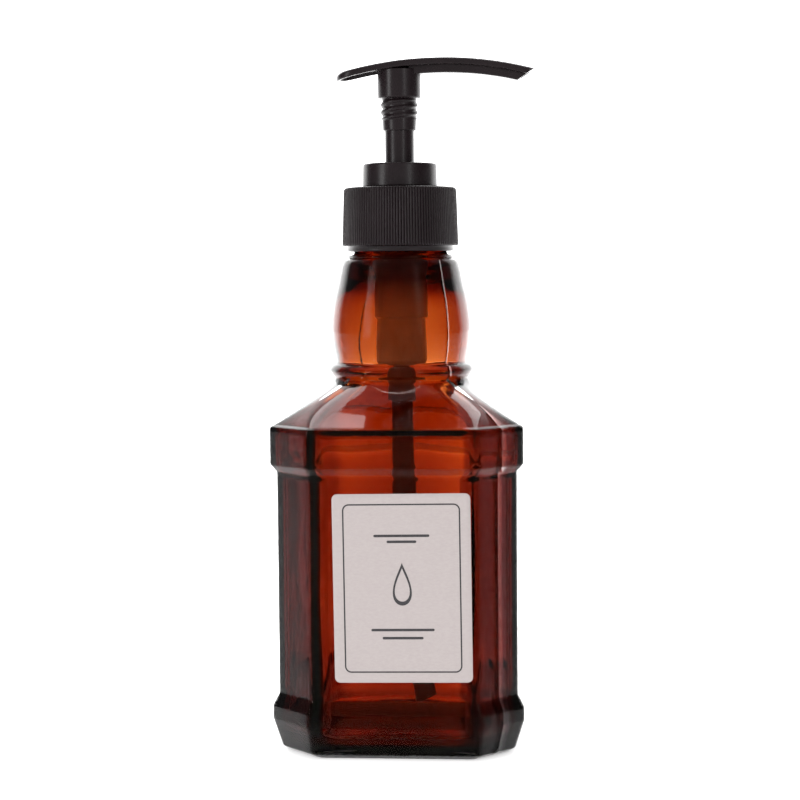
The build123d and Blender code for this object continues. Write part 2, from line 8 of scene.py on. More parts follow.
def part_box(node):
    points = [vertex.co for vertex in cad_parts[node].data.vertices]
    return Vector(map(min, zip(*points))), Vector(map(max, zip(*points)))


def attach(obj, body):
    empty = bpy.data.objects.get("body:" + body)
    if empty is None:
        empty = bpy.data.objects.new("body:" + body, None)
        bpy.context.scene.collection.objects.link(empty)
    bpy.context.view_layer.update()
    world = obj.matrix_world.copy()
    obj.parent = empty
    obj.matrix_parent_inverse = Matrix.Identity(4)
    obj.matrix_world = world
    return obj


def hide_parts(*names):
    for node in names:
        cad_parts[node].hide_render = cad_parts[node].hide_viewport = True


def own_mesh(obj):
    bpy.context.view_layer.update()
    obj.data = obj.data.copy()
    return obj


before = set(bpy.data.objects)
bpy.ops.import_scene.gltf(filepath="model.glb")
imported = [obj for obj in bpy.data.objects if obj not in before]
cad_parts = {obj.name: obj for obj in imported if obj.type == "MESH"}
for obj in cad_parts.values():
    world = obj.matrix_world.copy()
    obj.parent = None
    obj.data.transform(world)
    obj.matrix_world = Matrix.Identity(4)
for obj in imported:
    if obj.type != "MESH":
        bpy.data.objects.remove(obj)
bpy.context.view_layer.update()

# Looks of a square amber glass bottle with a lotion pump. Lengths below are millimetres in the frame's own
# axes: +Z up, the label faces -Y, the spout points along +X. build() turns them into metres.
MM = 0.001

# ---- read from the frame ----
BOTTLE_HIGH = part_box("bottle")[1]
BAND_HALF = BOTTLE_HIGH.x / MM
RIM_Z = BOTTLE_HIGH.z / MM
LABEL_LOW, LABEL_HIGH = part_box("front_label")
COLLAR_LOW, COLLAR_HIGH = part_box("ribbed_collar")
CHAPLET_LOW, CHAPLET_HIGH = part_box("chaplet")
STEM_LOW, STEM_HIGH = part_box("stem")
COVER_LOW, COVER_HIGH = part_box("actuator_cover")
ACTUATOR_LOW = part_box("actuator_body")[0]
HOUSING_LOW, HOUSING_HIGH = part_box("pump_housing")
TUBE_LOW, TUBE_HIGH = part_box("dip_tube")
SPRING_LOW, SPRING_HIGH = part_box("return_spring")

# ---- glass, outside ----
SIDE_HALF = 32.9            # half the width of the square body, across the flats
SIDE_CHAMFER = 10.5         # leg of its corner chamfers
SIDE_LOW, SIDE_HIGH = 16.2, 77.2
BAND_CHAMFER = 11.6
BAND_LOW, BAND_HIGH = 79.4, 89.6
BASE_HALF = 34.6
BASE_CHAMFER = 11.4
BASE_LOW, BASE_HIGH = 9.4, 12.9
EDGE_ROUND = 3.0            # rounding of the body's upright edges
BAND_EDGE_ROUND = 3.2       # and of the upright edges of its two bands
SHOULDER_LOW = 90.2
SHOULDER_LOW_HALF = 33.4
SHOULDER_HIGH = 101.7
SHOULDER_POWER = 1.35       # how hollow the shoulder's curve is
SHOULDER_CHAMFER = 0.21     # chamfer's share of the half width at the top of the shoulder
SHOULDER_SQUARENESS = 3.2   # how late the shoulder turns from square to round
SHOULDER_ROUND = 9.0        # rounding of the shoulder's ridges near its top
SHOULDER_STEPS = 22
CHAMFER_FADE = 1.9          # how early the band's wide chamfer gives way to the shoulder's
ROUND_GAIN = 0.8            # how early the ridges of the shoulder grow soft
NECK_R = 19.3
BEAD_R = 20.45
BEAD_Z = 103.8
BEAD_ROUND = 2.5
BEAD_RISE = 2.35            # the bead is a little flatter than it is deep
BULB_TOP_Z = 134.0          # above this the neck has no seam and a true inside
FINISH_R = 12.5
RIM_ROUND = 0.8
THREAD_PITCH = 4.233
THREAD_LOW, THREAD_HIGH = 141.4, 148.2
THREAD_RISE = 1.1
PUSH_UP = 1.6               # depth of the hollow under the base
PUSH_UP_R = 24.2
SEAM = 0.1                  # how far the mould seam stands out on the body
NECK_SEAM = 0.08
LONGEST_SPAN = 3.0          # longest step between rings of the glass

# ---- glass, inside ----
SHOULDER_WALL = 2.7
SHOULDER_WALL_DROP = 0.75   # the shoulder's inside lies this share of the wall lower as well as inwards
WALL = 3.3
MOUTH_R = 10.2
INSIDE_WAVE = 0.55          # depth of the unevenness of the blown inside
NECK_WAVE = 0.25
INSIDE_HOLLOW = -0.5        # the inside of each flat side bows in by this much

# ---- label ----
LABEL_W, LABEL_H, LABEL_CORNER = 37.1, 51.0, 1.5
LABEL_TILT = 0.5            # degrees, anticlockwise seen from the front
LABEL_GAP = 0.03            # paste between glass and paper
LABEL_FACE = 0.14           # the paper's face, in front of the glass
INK_LOW, INK_HIGH = 0.141, 0.15
BORDER_W, BORDER_H, BORDER_CORNER = 31.6, 45.6, 1.8
BORDER_LINE = 0.4
DROP_SIZE = 5.8
RULE_THICK = 0.7
RULES = ((-11.2, 17.0), (-13.4, 11.0), (14.2, 15.0), (12.6, 8.0))       # height from the middle, length

# ---- pump ----
RIB_COUNT = 128
RIB_DEPTH = 0.28
RIB_POINTS = 8              # points of the ring to each rib
COLLAR_LOW_R, COLLAR_TOP_R = 16.33, 15.86
COLLAR_BAND = 1.5           # height of the plain band under the ribs
COLLAR_BORE_R = 14.0
COLLAR_THREAD = 1.0
THREADED = 2                # mark of the collar's bore where the thread runs
STEM_R, STEM_BORE_R = 4.08, 2.62
FLANGE_Z = 151.9            # underside of the barrel's flange
FLANGE_THICK = 1.25
BARREL_STEP_Z = 118.9
BARREL_SEAT_Z = 111.5       # floor of the barrel's bore
BARREL_R, BARREL_LOW_R, BARREL_BORE_R = 7.75, 7.0, 6.3
FLANGE_R = 12.9
TUBE_R, TUBE_BORE_R = 2.93, 2.2
TUBE_STRAIGHT_LOW = 93.5    # the tube is straight above this height and bows below it
TUBE_BOW = 6.0              # how far the tube's foot stands towards the spout side
TUBE_SLANT = 0.35           # slope of the cut at the tube's foot
TUBE_CUT_RISE = 0.9
HUB_LOW, HUB_TOP = 179.6, 187.6
HUB_R, PLUG_R, HUB_BORE_R = 6.0, 4.75, 4.12
LOCK_LOW, LOCK_HIGH = 173.6, 179.4      # the thread that locks the head down
LOCK_LEAD = 4.2
LOCK_RISE = 0.5
SPRING_WIRE_R, SPRING_R, SPRING_TURNS = 0.5, 4.3, 8.5
ARM_APEX_X = 13.0
ARM_TAIL_ARC = 117.0
ARM_SPOUT_ARC = 95.0
ARM_HALF = 6.4
ARM_TIP_ROUND = 3.0         # the tip is round in plan
ARM_TAIL_ROUND = 5.6
ARM_EDGE = 2.1
COVER_WALL = 1.0
CHANNEL_DEPTH = 4.35
CHANNEL_HALF, CHANNEL_BORE_HALF = 4.05, 3.0
TIP_SLOPE = 1.5
TIP_SPARE = 0.8             # the arm is drawn this much too long, then cut along its slope

# ---- light, as brightness ----
BACKDROP = (3.3, 3.3, 3.3)
FRONT_WALL = (1.05, 1.04, 1.04)
SIDE_WALL = (0.22, 0.21, 0.215)
CEILING = (0.9, 0.9, 0.9)
# Painted light in the floor: its glow behind the bottle, and a ring of glow round the foot that paints out
# the contact shadow.
FLOOR_GLOW_LOW, FLOOR_GLOW_HIGH = 0.3, 3.3      # floor behind the bottle, from its middle outwards
FLOOR_GLOW_NEAR = 0.55                          # floor all round the foot


# ------------------------------------------------------------------ mesh tools

def build(name, verts, faces, body, material, replaced=(), smooth=True, sharp_deg=50, cut=None):
    """Mesh object from points in millimetres; it rides on body and stands for the replaced CAD nodes.

    cut is a (point, normal) plane: what lies beyond it is cut away and the cut is closed.
    """
    mesh = bpy.data.meshes.new(name)
    mesh.from_pydata([Vector(v) * MM for v in verts], [], faces)
    bm = bmesh.new()
    bm.from_mesh(mesh)
    bmesh.ops.remove_doubles(bm, verts=bm.verts, dist=1e-7)
    bmesh.ops.dissolve_degenerate(bm, edges=bm.edges, dist=1e-8)
    if cut:
        point, normal = Vector(cut[0]) * MM, Vector(cut[1]).normalized()
        whole = list(bm.verts) + list(bm.edges) + list(bm.faces)
        bmesh.ops.bisect_plane(bm, geom=whole, dist=1e-7, plane_co=point, plane_no=normal, clear_outer=True)
        rim = [edge for edge in bm.edges if edge.is_boundary]
        bmesh.ops.triangle_fill(bm, edges=rim, use_beauty=True, normal=normal)
    bmesh.ops.recalc_face_normals(bm, faces=bm.faces)
    for face in bm.faces:
        face.smooth = smooth
    for edge in bm.edges:
        if len(edge.link_faces) == 2 and edge.calc_face_angle(0.0) > math.radians(sharp_deg):
            edge.smooth = False
    bm.to_mesh(mesh)
    bm.free()
    mesh.materials.append(material)
    obj = bpy.data.objects.new(name, mesh)
    bpy.context.scene.collection.objects.link(obj)
    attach(obj, body)
    if replaced:
        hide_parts(*replaced)
    return obj


def loft(rings, cap_start=True, cap_end=True, closed=False):
    """Vertices and faces of a skin over rings of equal length; closed joins the last ring to the first."""
    count = len(rings[0])
    verts = [p for ring in rings for p in ring]
    faces = []
    total = len(rings)
    for i in range(total if closed else total - 1):
        low = i * count
        high = ((i + 1) % total) * count
        for j in range(count):
            k = (j + 1) % count
            faces.append((low + j, low + k, high + k, high + j))
    if cap_start and not closed:
        faces.append(tuple(reversed(range(count))))
    if cap_end and not closed:
        faces.append(tuple(range((total - 1) * count, total * count)))
    return verts, faces


def fan_capped(rings):
    """Like loft, with a small fan at each end in place of one large polygon."""
    verts, faces = loft(rings, cap_start=False, cap_end=False)
    count = len(rings[0])
    for ring, first, flip in ((rings[0], 0, True), (rings[-1], (len(rings) - 1) * count, False)):
        centre = sum((Vector(p) for p in ring), Vector()) / count
        verts.append(centre)
        tip = len(verts) - 1
        for j in range(count):
            a, b = first + j, first + (j + 1) % count
            faces.append((b, a, tip) if flip else (a, b, tip))
    return verts, faces


def rounded(points, radii, steps=4):
    """Path of points with the corners rounded; the first two values of each point are its place."""
    out = [tuple(points[0])]
    for i in range(1, len(points) - 1):
        before, here, after = (Vector(points[i + d]) for d in (-1, 0, 1))
        back = Vector((before - here)[:2])
        ahead = Vector((after - here)[:2])
        radius = radii[i]
        if radius <= 0 or back.length < 1e-6 or ahead.length < 1e-6:
            out.append(tuple(here))
            continue
        turn = math.pi - back.angle(ahead)
        reach = radius * math.tan(turn / 2)
        start = here + (before - here) * min(0.48, reach / back.length)
        end = here + (after - here) * min(0.48, reach / ahead.length)
        for k in range(steps + 1):
            w = k / steps
            out.append(tuple(start * (1 - w) ** 2 + here * (2 * w * (1 - w)) + end * w ** 2))
    out.append(tuple(points[-1]))
    return out


def refined(path, longest):
    """Path with every span cut to at most the longest length."""
    out = [path[0]]
    for a, b in zip(path, path[1:]):
        span = (Vector(b[:2]) - Vector(a[:2])).length
        pieces = max(1, math.ceil(span / longest))
        for k in range(1, pieces + 1):
            out.append(tuple(Vector(a) + (Vector(b) - Vector(a)) * (k / pieces)))
    return out


def spline(points, steps):
    """Smooth curve through points, by Catmull-Rom spans."""
    before_first = tuple(Vector(points[0]) * 2 - Vector(points[1]))
    after_last = tuple(Vector(points[-1]) * 2 - Vector(points[-2]))
    padded = [before_first, *points, after_last]
    out = []
    for i in range(1, len(padded) - 2):
        a, b, c, d = (Vector(padded[i + k]) for k in (-1, 0, 1, 2))
        for k in range(steps):
            t = k / steps
            out.append(tuple(0.5 * (2 * b + (c - a) * t + (2 * a - 5 * b + 4 * c - d) * t ** 2
                                    + (3 * b - a - 3 * c + d) * t ** 3)))
    out.append(tuple(points[-1]))
    return out


def turned(profile, segments=96, radius_at=None):
    """Skin of a closed outline of (radius, z) turned about Z.

    radius_at may change a radius by angle and z.
    """
    rings = []
    for r, z in profile:
        ring = []
        for j in range(segments):
            angle = 2 * math.pi * j / segments
            rr = radius_at(r, z, angle) if radius_at else r
            ring.append((rr * math.cos(angle), rr * math.sin(angle), z))
        rings.append(ring)
    return loft(rings, closed=True)


def ridge(height, z, low, high, lead, starts, angle, half_width, sharpness=1.0):
    """Height of a helical ridge at z and angle, fading in and out at its ends."""
    if z < low or z > high:
        return 0.0
    pitch = lead / starts
    phase = (z - low - lead * angle / (2 * math.pi)) % pitch
    away = min(phase, pitch - phase) / half_width
    if away >= 1:
        return 0.0
    fade = min(1.0, (z - low) / 0.5, (high - z) / 0.5)
    return height * fade * (1 - away ** (1 + sharpness))


# ------------------------------------------------------------------ materials

def material(name):
    """New node material: itself, its nodes, its links and its shader."""
    mat = bpy.data.materials.new(name)
    mat.use_nodes = True
    tree = mat.node_tree
    return mat, tree.nodes, tree.links, tree.nodes["Principled BSDF"]


def object_noise(nodes, links, scale, detail=3.0, rough=0.5, stretch=(1, 1, 1)):
    """Noise texture in object space; scale is cells per metre."""
    coord = nodes.new("ShaderNodeTexCoord")
    mapping = nodes.new("ShaderNodeMapping")
    mapping.inputs["Scale"].default_value = stretch
    tex = nodes.new("ShaderNodeTexNoise")
    tex.inputs["Scale"].default_value = scale
    tex.inputs["Detail"].default_value = detail
    tex.inputs["Roughness"].default_value = rough
    links.new(coord.outputs["Object"], mapping.inputs["Vector"])
    links.new(mapping.outputs["Vector"], tex.inputs["Vector"])
    return tex.outputs["Fac"]


def to_range(nodes, links, value, low, high, from_low=0.3, from_high=0.7):
    """Value carried from one range to another and held within it; a noise spans about 0.3 to 0.7."""
    node = nodes.new("ShaderNodeMapRange")
    node.inputs["From Min"].default_value = from_low
    node.inputs["From Max"].default_value = from_high
    node.inputs["To Min"].default_value = low
    node.inputs["To Max"].default_value = high
    links.new(value, node.inputs["Value"])
    return node.outputs["Result"]


def mix_colour(nodes, links, factor, first, second):
    """Mix of two colours, each a tuple or another node's output."""
    node = nodes.new("ShaderNodeMix")
    node.data_type = "RGBA"
    for name, colour in (("A", first), ("B", second)):
        if isinstance(colour, bpy.types.NodeSocket):
            links.new(colour, node.inputs[name])
        else:
            node.inputs[name].default_value = (*colour, 1)
    links.new(factor, node.inputs["Factor"])
    return node.outputs["Result"]


def add_bump(nodes, links, bsdf, height, distance, strength=1.0, before=None):
    """Bump of the given depth in metres, laid over an earlier one if given."""
    bump = nodes.new("ShaderNodeBump")
    bump.inputs["Distance"].default_value = distance
    bump.inputs["Strength"].default_value = strength
    links.new(height, bump.inputs["Height"])
    if before is not None:
        links.new(before, bump.inputs["Normal"])
    links.new(bump.outputs["Normal"], bsdf.inputs["Normal"])
    return bump.outputs["Normal"]


def amber_glass():
    """Clear brown glass, tinted by its thickness, faintly smeared and uneven."""
    mat, nodes, links, bsdf = material("amber_glass")
    bsdf.inputs["Base Color"].default_value = (1.0, 0.98, 0.96, 1)
    bsdf.inputs["Transmission Weight"].default_value = 1.0
    bsdf.inputs["IOR"].default_value = 1.52
    bsdf.inputs["Specular Tint"].default_value = (0.09, 0.08, 0.08, 1)
    smear = object_noise(nodes, links, 60, detail=4)
    links.new(to_range(nodes, links, smear, 0.0, 0.045, 0.45, 0.75), bsdf.inputs["Roughness"])
    wave = add_bump(nodes, links, bsdf, object_noise(nodes, links, 55, detail=1), 0.0004, 0.5)
    add_bump(nodes, links, bsdf, object_noise(nodes, links, 700, detail=2), 0.00001, 0.5, wave)
    absorb = nodes.new("ShaderNodeVolumeAbsorption")
    absorb.inputs["Color"].default_value = (0.70, 0.40, 0.07, 1)
    absorb.inputs["Density"].default_value = 1300.0
    links.new(absorb.outputs["Volume"], nodes["Material Output"].inputs["Volume"])
    return mat


def black_plastic():
    """Near-black plastic with a soft sheen and a fine grain."""
    mat, nodes, links, bsdf = material("black_plastic")
    bsdf.inputs["Specular IOR Level"].default_value = 0.16
    tone = to_range(nodes, links, object_noise(nodes, links, 120, detail=5), 0.0, 1.0)
    shade = mix_colour(nodes, links, tone, (0.006, 0.003, 0.0038), (0.010, 0.006, 0.0072))
    links.new(shade, bsdf.inputs["Base Color"])
    haze = object_noise(nodes, links, 260, detail=6, stretch=(1, 1, 0.25))
    links.new(to_range(nodes, links, haze, 0.24, 0.36), bsdf.inputs["Roughness"])
    fine = add_bump(nodes, links, bsdf, object_noise(nodes, links, 5200, detail=2), 0.00002, 0.35)
    add_bump(nodes, links, bsdf, object_noise(nodes, links, 180, detail=2), 0.00012, 0.25, fine)
    return mat


def moulded_plastic(name, light, dark, rough_low, rough_high, through=0.0):
    """Pale moulded plastic between two tones; through is how much light passes under its skin."""
    mat, nodes, links, bsdf = material(name)
    tone = to_range(nodes, links, object_noise(nodes, links, 150, detail=4), 0.0, 1.0)
    links.new(mix_colour(nodes, links, tone, dark, light), bsdf.inputs["Base Color"])
    haze = object_noise(nodes, links, 320, detail=5, stretch=(1, 1, 0.3))
    links.new(to_range(nodes, links, haze, rough_low, rough_high), bsdf.inputs["Roughness"])
    bsdf.inputs["Subsurface Weight"].default_value = through
    bsdf.inputs["Subsurface Radius"].default_value = (0.003, 0.003, 0.003)
    add_bump(nodes, links, bsdf, object_noise(nodes, links, 2600, detail=2), 0.00002, 0.3)
    return mat


def label_paper():
    """Off-white paper with short upright fibres."""
    mat, nodes, links, bsdf = material("label_paper")
    fibre = object_noise(nodes, links, 900, detail=6, rough=0.65, stretch=(1, 1, 2.5))
    tone = to_range(nodes, links, fibre, 0.0, 1.0)
    shade = mix_colour(nodes, links, tone, (0.365, 0.322, 0.316), (0.405, 0.362, 0.355))
    links.new(shade, bsdf.inputs["Base Color"])
    links.new(to_range(nodes, links, fibre, 0.42, 0.6), bsdf.inputs["Roughness"])
    add_bump(nodes, links, bsdf, fibre, 0.00003, 0.4)
    return mat


def print_ink():
    """Dark, slightly mottled printing ink."""
    mat, nodes, links, bsdf = material("print_ink")
    grain = object_noise(nodes, links, 2500, detail=3)
    tone = to_range(nodes, links, grain, 0.0, 1.0)
    shade = mix_colour(nodes, links, tone, (0.012, 0.011, 0.013), (0.028, 0.025, 0.028))
    links.new(shade, bsdf.inputs["Base Color"])
    links.new(to_range(nodes, links, grain, 0.45, 0.6), bsdf.inputs["Roughness"])
    return mat


def steel_wire():
    """Drawn steel."""
    mat, nodes, links, bsdf = material("steel_wire")
    bsdf.inputs["Metallic"].default_value = 1.0
    drawn = object_noise(nodes, links, 1800, detail=4)
    tone = to_range(nodes, links, drawn, 0.0, 1.0)
    shade = mix_colour(nodes, links, tone, (0.50, 0.50, 0.51), (0.66, 0.66, 0.67))
    links.new(shade, bsdf.inputs["Base Color"])
    links.new(to_range(nodes, links, drawn, 0.22, 0.38), bsdf.inputs["Roughness"])
    return mat


def clear_ball():
    """Clear glass of the valve ball."""
    mat, nodes, links, bsdf = material("clear_ball")
    bsdf.inputs["Base Color"].default_value = (0.93, 0.97, 0.95, 1)
    bsdf.inputs["Transmission Weight"].default_value = 1.0
    bsdf.inputs["IOR"].default_value = 1.5
    links.new(to_range(nodes, links, object_noise(nodes, links, 500), 0.0, 0.06), bsdf.inputs["Roughness"])
    return mat


AMBER = amber_glass()
BLACK = black_plastic()
HOUSING = moulded_plastic("housing_plastic", (0.84, 0.82, 0.82), (0.76, 0.74, 0.74), 0.22, 0.36)
TUBE = moulded_plastic("tube_plastic", (0.70, 0.67, 0.65), (0.62, 0.59, 0.57), 0.3, 0.45, 0.2)
NATURAL = moulded_plastic("natural_plastic", (0.74, 0.73, 0.70), (0.68, 0.67, 0.64), 0.35, 0.5, 0.3)
FOAM = moulded_plastic("gasket_foam", (0.80, 0.79, 0.76), (0.70, 0.69, 0.66), 0.7, 0.85)
PAPER = label_paper()
INK = print_ink()
STEEL = steel_wire()
CLEAR = clear_ball()


# ------------------------------------------------------------------ the bottle

FLAT_STEPS, CORNER_STEPS = 20, 6
CHAMFER_STEPS = (0.25, 0.487, 0.5, 0.513, 0.75)     # close together at the middle, where the seam runs


def octagon(z, half, chamfer, edge_round, roundness=0.0, seam=0.0, puff=0.0):
    """Ring of a chamfered square with rounded corners, turning into a circle as roundness goes to 1.

    seam lifts the middle of two opposite chamfers, puff bows the flat sides out.
    """
    inner = half - chamfer
    corners = [(half, -inner), (half, inner), (inner, half), (-inner, half)]
    corners += [(-x, -y) for x, y in corners]
    tangent = edge_round * math.tan(math.pi / 8)
    ring = []
    for i, (x, y) in enumerate(corners):
        before = Vector(corners[i - 1])
        here = Vector((x, y))
        after = Vector(corners[(i + 1) % 8])
        back = (before - here).normalized()
        ahead = (after - here).normalized()
        for k in range(CORNER_STEPS + 1):
            w = k / CORNER_STEPS
            start, end = here + back * tangent, here + ahead * tangent
            ring.append((start * (1 - w) ** 2 + here * (2 * w * (1 - w)) + end * w ** 2, 0.0))
        start, end = here + ahead * tangent, after - ahead * tangent
        on_flat = i % 2 == 0
        parts = [k / FLAT_STEPS for k in range(1, FLAT_STEPS)] if on_flat else CHAMFER_STEPS
        for part in parts:
            lift = 0.0
            if on_flat:
                lift = puff * math.sin(math.pi * part)
            elif i in (3, 7) and part == 0.5:
                lift = seam
            point = start + (end - start) * part
            ring.append((point, lift))
    out = []
    for point, lift in ring:
        blended = point.lerp(point.normalized() * half, roundness)
        placed = blended + blended.normalized() * lift
        out.append((placed.x, placed.y, z))
    return out


def shoulder_path(inset=0.0):
    """Stations of the hollow-curved shoulder: z, half, chamfer, edge round and roundness."""
    path = []
    for k in range(SHOULDER_STEPS + 1):
        rise = k / SHOULDER_STEPS
        half = NECK_R + (SHOULDER_LOW_HALF - NECK_R) * (1 - rise) ** SHOULDER_POWER
        share = BAND_CHAMFER / BAND_HALF * (1 - rise) ** CHAMFER_FADE + SHOULDER_CHAMFER * rise
        z = SHOULDER_LOW + rise * (SHOULDER_HIGH - SHOULDER_LOW) - SHOULDER_WALL_DROP * inset
        half -= inset
        soft = math.sin(math.pi / 2 * rise) ** ROUND_GAIN
        edge_round = EDGE_ROUND + (SHOULDER_ROUND - EDGE_ROUND) * soft
        path.append((z, half, share * half, edge_round, rise ** SHOULDER_SQUARENESS))
    return path


def outer_stations():
    """Outside of the glass from the middle of the base to the top of the shoulder."""
    hollow = [(PUSH_UP * (1 - (r / PUSH_UP_R) ** 2), r, r * 0.3, 1.0, 1.0)
              for r in (0.8, 4, 8, 12, 16, 20, 22.5)]
    square = [
        (0.0, PUSH_UP_R, 8.0, 3.0, 1.0),
        (0.0, 26.5, 8.4, 3.0, 0.45),
        (0.0, 30.0, 9.0, 3.0, 0.0),
        (1.5, 32.1, 9.7, 3.0, 0.0),
        (BASE_LOW, BASE_HALF, BASE_CHAMFER, BAND_EDGE_ROUND, 0.0),
        (BASE_HIGH, BASE_HALF, BASE_CHAMFER, BAND_EDGE_ROUND, 0.0),
        (SIDE_LOW, SIDE_HALF, SIDE_CHAMFER, EDGE_ROUND, 0.0),
        (SIDE_HIGH, SIDE_HALF, SIDE_CHAMFER, EDGE_ROUND, 0.0),
        (BAND_LOW, BAND_HALF, BAND_CHAMFER, BAND_EDGE_ROUND, 0.0),
        (BAND_HIGH, BAND_HALF, BAND_CHAMFER, BAND_EDGE_ROUND, 0.0),
    ]
    shoulder = shoulder_path()
    path = hollow + square + shoulder
    square_radii = [1.5, 0, 1.3, 1.0, 2.0, 1.6, 1.8, 1.3, 1.2, 1.7]
    radii = [0] * len(hollow) + square_radii + [1.2] + [0] * (len(shoulder) - 1)
    return refined(rounded(path, radii, 5), LONGEST_SPAN)


def neck_outline():
    """Outside of the round part above the shoulder, as (z, radius), up to the rim."""
    bead = [(BEAD_Z + BEAD_RISE * math.sin(a), BEAD_R - BEAD_ROUND + BEAD_ROUND * math.cos(a))
            for a in (math.radians(d) for d in range(-42, 67, 9))]
    bulb = spline([(106.15, 18.72), (107.6, 18.95), (110.6, 19.45), (114.2, 19.72), (118.5, 19.5),
                   (123.4, 18.8), (128.0, 17.7), (131.8, 16.9), (133.6, 16.45)], 5)
    top = [(134.5, 16.1), (135.05, 15.3), (135.15, 14.2)]
    ring = rounded([(135.15, 14.2), (135.2, 14.9), (135.95, 14.9), (136.3, 13.3), (138.2, FINISH_R)],
                   [0, 0.25, 0.3, 0.4, 0], 3)
    finish = [(z / 10, FINISH_R) for z in range(1386, 1499, 3)]
    rim = [(RIM_Z - RIM_ROUND + RIM_ROUND * math.sin(a), FINISH_R - RIM_ROUND + RIM_ROUND * math.cos(a))
           for a in (math.radians(d) for d in (0, 30, 60, 90))]
    return bead + bulb + top + ring[1:] + finish + rim


def neck_inside():
    """Inside of the neck, as (z, radius), from the rim down to the shoulder."""
    mouth = [(RIM_Z, 10.9), (RIM_Z - 0.2, 10.45), (RIM_Z - 0.8, 10.25), (RIM_Z - 5, MOUTH_R),
             (RIM_Z - 10, MOUTH_R)]
    room = spline([(138.0, 10.25), (134.0, 10.5), (131.0, 11.6), (128.0, 13.7), (124.5, 15.6),
                   (120.0, 16.8), (114.0, 17.4), (108.0, 17.0), (105.0, 16.8), (102.0, 16.6)], 6)
    return mouth + room


def inner_stations():
    """Inside of the body from the shoulder down to the middle of the floor."""
    shoulder = list(reversed(shoulder_path(SHOULDER_WALL)))
    body = [
        (87.6, BAND_HALF - WALL, 11.5, 5.0, 0.0),
        (80.0, BAND_HALF - 3.2, 11.2, 5.0, 0.0),
        (75.5, SIDE_HALF - WALL, 10.6, 6.0, 0.0),
        (20.0, SIDE_HALF - WALL, 10.6, 6.0, 0.0),
        (6.6, SIDE_HALF - 3.4, 10.6, 6.0, 0.0),
        (4.0, SIDE_HALF - 5.6, 10.0, 6.0, 0.1),
        (3.5, 19.0, 6.0, 3.0, 1.0),
        (4.2, 6.0, 2.0, 1.0, 1.0),
        (4.4, 0.8, 0.3, 0.1, 1.0),
    ]
    path = shoulder + body
    radii = [0] * len(shoulder) + [3.0, 3.0, 2.0, 4.0, 2.5, 2.5, 6.0, 0, 0]
    return refined(rounded(path, radii, 6), LONGEST_SPAN)


def wavy(ring, amplitude, scale, seed):
    """Ring pushed in and out a little, as blown glass is."""
    out = []
    for x, y, z in ring:
        shift = noise.noise(Vector((x, y, z + seed)) * scale) * amplitude
        flat = Vector((x, y, 0)).normalized() * shift
        out.append((x + flat.x, y + flat.y, z))
    return out


def round_ring(z, r, seam=0.0):
    """Round ring with the same number and order of points as the square ones."""
    return octagon(z, r, r * SHOULDER_CHAMFER, 1.5, 1.0, seam)


def bottle():
    """The whole glass as one closed skin: outside from the base to the rim, then inside down to the floor."""
    rings = []
    for z, half, chamfer, edge_round, roundness in outer_stations():
        seam = SEAM if z > 1.0 else 0.0
        rings.append(octagon(z, half, chamfer, edge_round, roundness, seam))
    for z, r in neck_outline():
        ring = round_ring(z, r, NECK_SEAM if z < BULB_TOP_Z else 0.0)
        if THREAD_LOW < z < THREAD_HIGH:
            angles = [math.atan2(y, x) % (2 * math.pi) for x, y, _ in ring]
            rise = [ridge(THREAD_RISE, z, THREAD_LOW, THREAD_HIGH, THREAD_PITCH, 1, a, 1.1, 1.5)
                    for a in angles]
            ring = [(x * (r + h) / r, y * (r + h) / r, z) for (x, y, z), h in zip(ring, rise)]
        rings.append(ring)
    for z, r in neck_inside():
        rings.append(wavy(round_ring(z, r), NECK_WAVE if z < BULB_TOP_Z else 0.0, 0.09, 40))
    for z, half, chamfer, edge_round, roundness in inner_stations():
        ring = octagon(z, half, chamfer, edge_round, roundness, 0.0, INSIDE_HOLLOW)
        rings.append(wavy(ring, INSIDE_WAVE, 0.05, 7))
    verts, faces = fan_capped(rings)
    return build("bottle_glass", verts, faces, "bottle", AMBER, ["bottle"], sharp_deg=80)


# ------------------------------------------------------------------ the label

def rounded_rect(width, height, corner, steps=8):
    """Outline of a rectangle with round corners."""
    points = []
    for cx, cz, first in ((1, 1, 0), (-1, 1, 90), (-1, -1, 180), (1, -1, 270)):
        for k in range(steps + 1):
            a = math.radians(first + 90 * k / steps)
            points.append((cx * (width / 2 - corner) + corner * math.cos(a),
                           cz * (height / 2 - corner) + corner * math.sin(a)))
    return points


def on_label(u, v, lift):
    """Point of the label's plane; lift is the distance in front of the glass."""
    centre = (LABEL_LOW + LABEL_HIGH) / 2 / MM
    tilt = math.radians(LABEL_TILT)
    x = centre.x + u * math.cos(tilt) - v * math.sin(tilt)
    z = centre.z + u * math.sin(tilt) + v * math.cos(tilt)
    return (x, -SIDE_HALF - lift, z)


def label():
    """Paper label with softly rounded cut edges."""
    edge = ((4.0, LABEL_GAP), (0.04, LABEL_GAP), (0.0, 0.055), (0.0, 0.11), (0.05, LABEL_FACE),
            (1.5, LABEL_FACE), (4.0, LABEL_FACE))
    rings = []
    for inset, lift in edge:
        shape = rounded_rect(LABEL_W - 2 * inset, LABEL_H - 2 * inset, max(0.4, LABEL_CORNER - inset))
        rings.append([on_label(u, v, lift) for u, v in shape])
    verts, faces = loft(rings)
    return build("label_sheet", verts, faces, "bottle", PAPER, ["front_label"],
                 sharp_deg=60)


def printed(name, outlines):
    """Thin ink on the label: one closed band of ink for each (outer, inner) pair of outlines."""
    verts, faces = [], []
    for outer, inner in outlines:
        loops = []
        for shape, lift in ((outer, INK_LOW), (outer, INK_HIGH), (inner, INK_HIGH), (inner, INK_LOW)):
            loops.append([on_label(u, v, lift) for u, v in shape])
        v, f = loft(loops, closed=True)
        faces += [tuple(i + len(verts) for i in face) for face in f]
        verts += v
    return build(name, verts, faces, "bottle", INK, smooth=False)


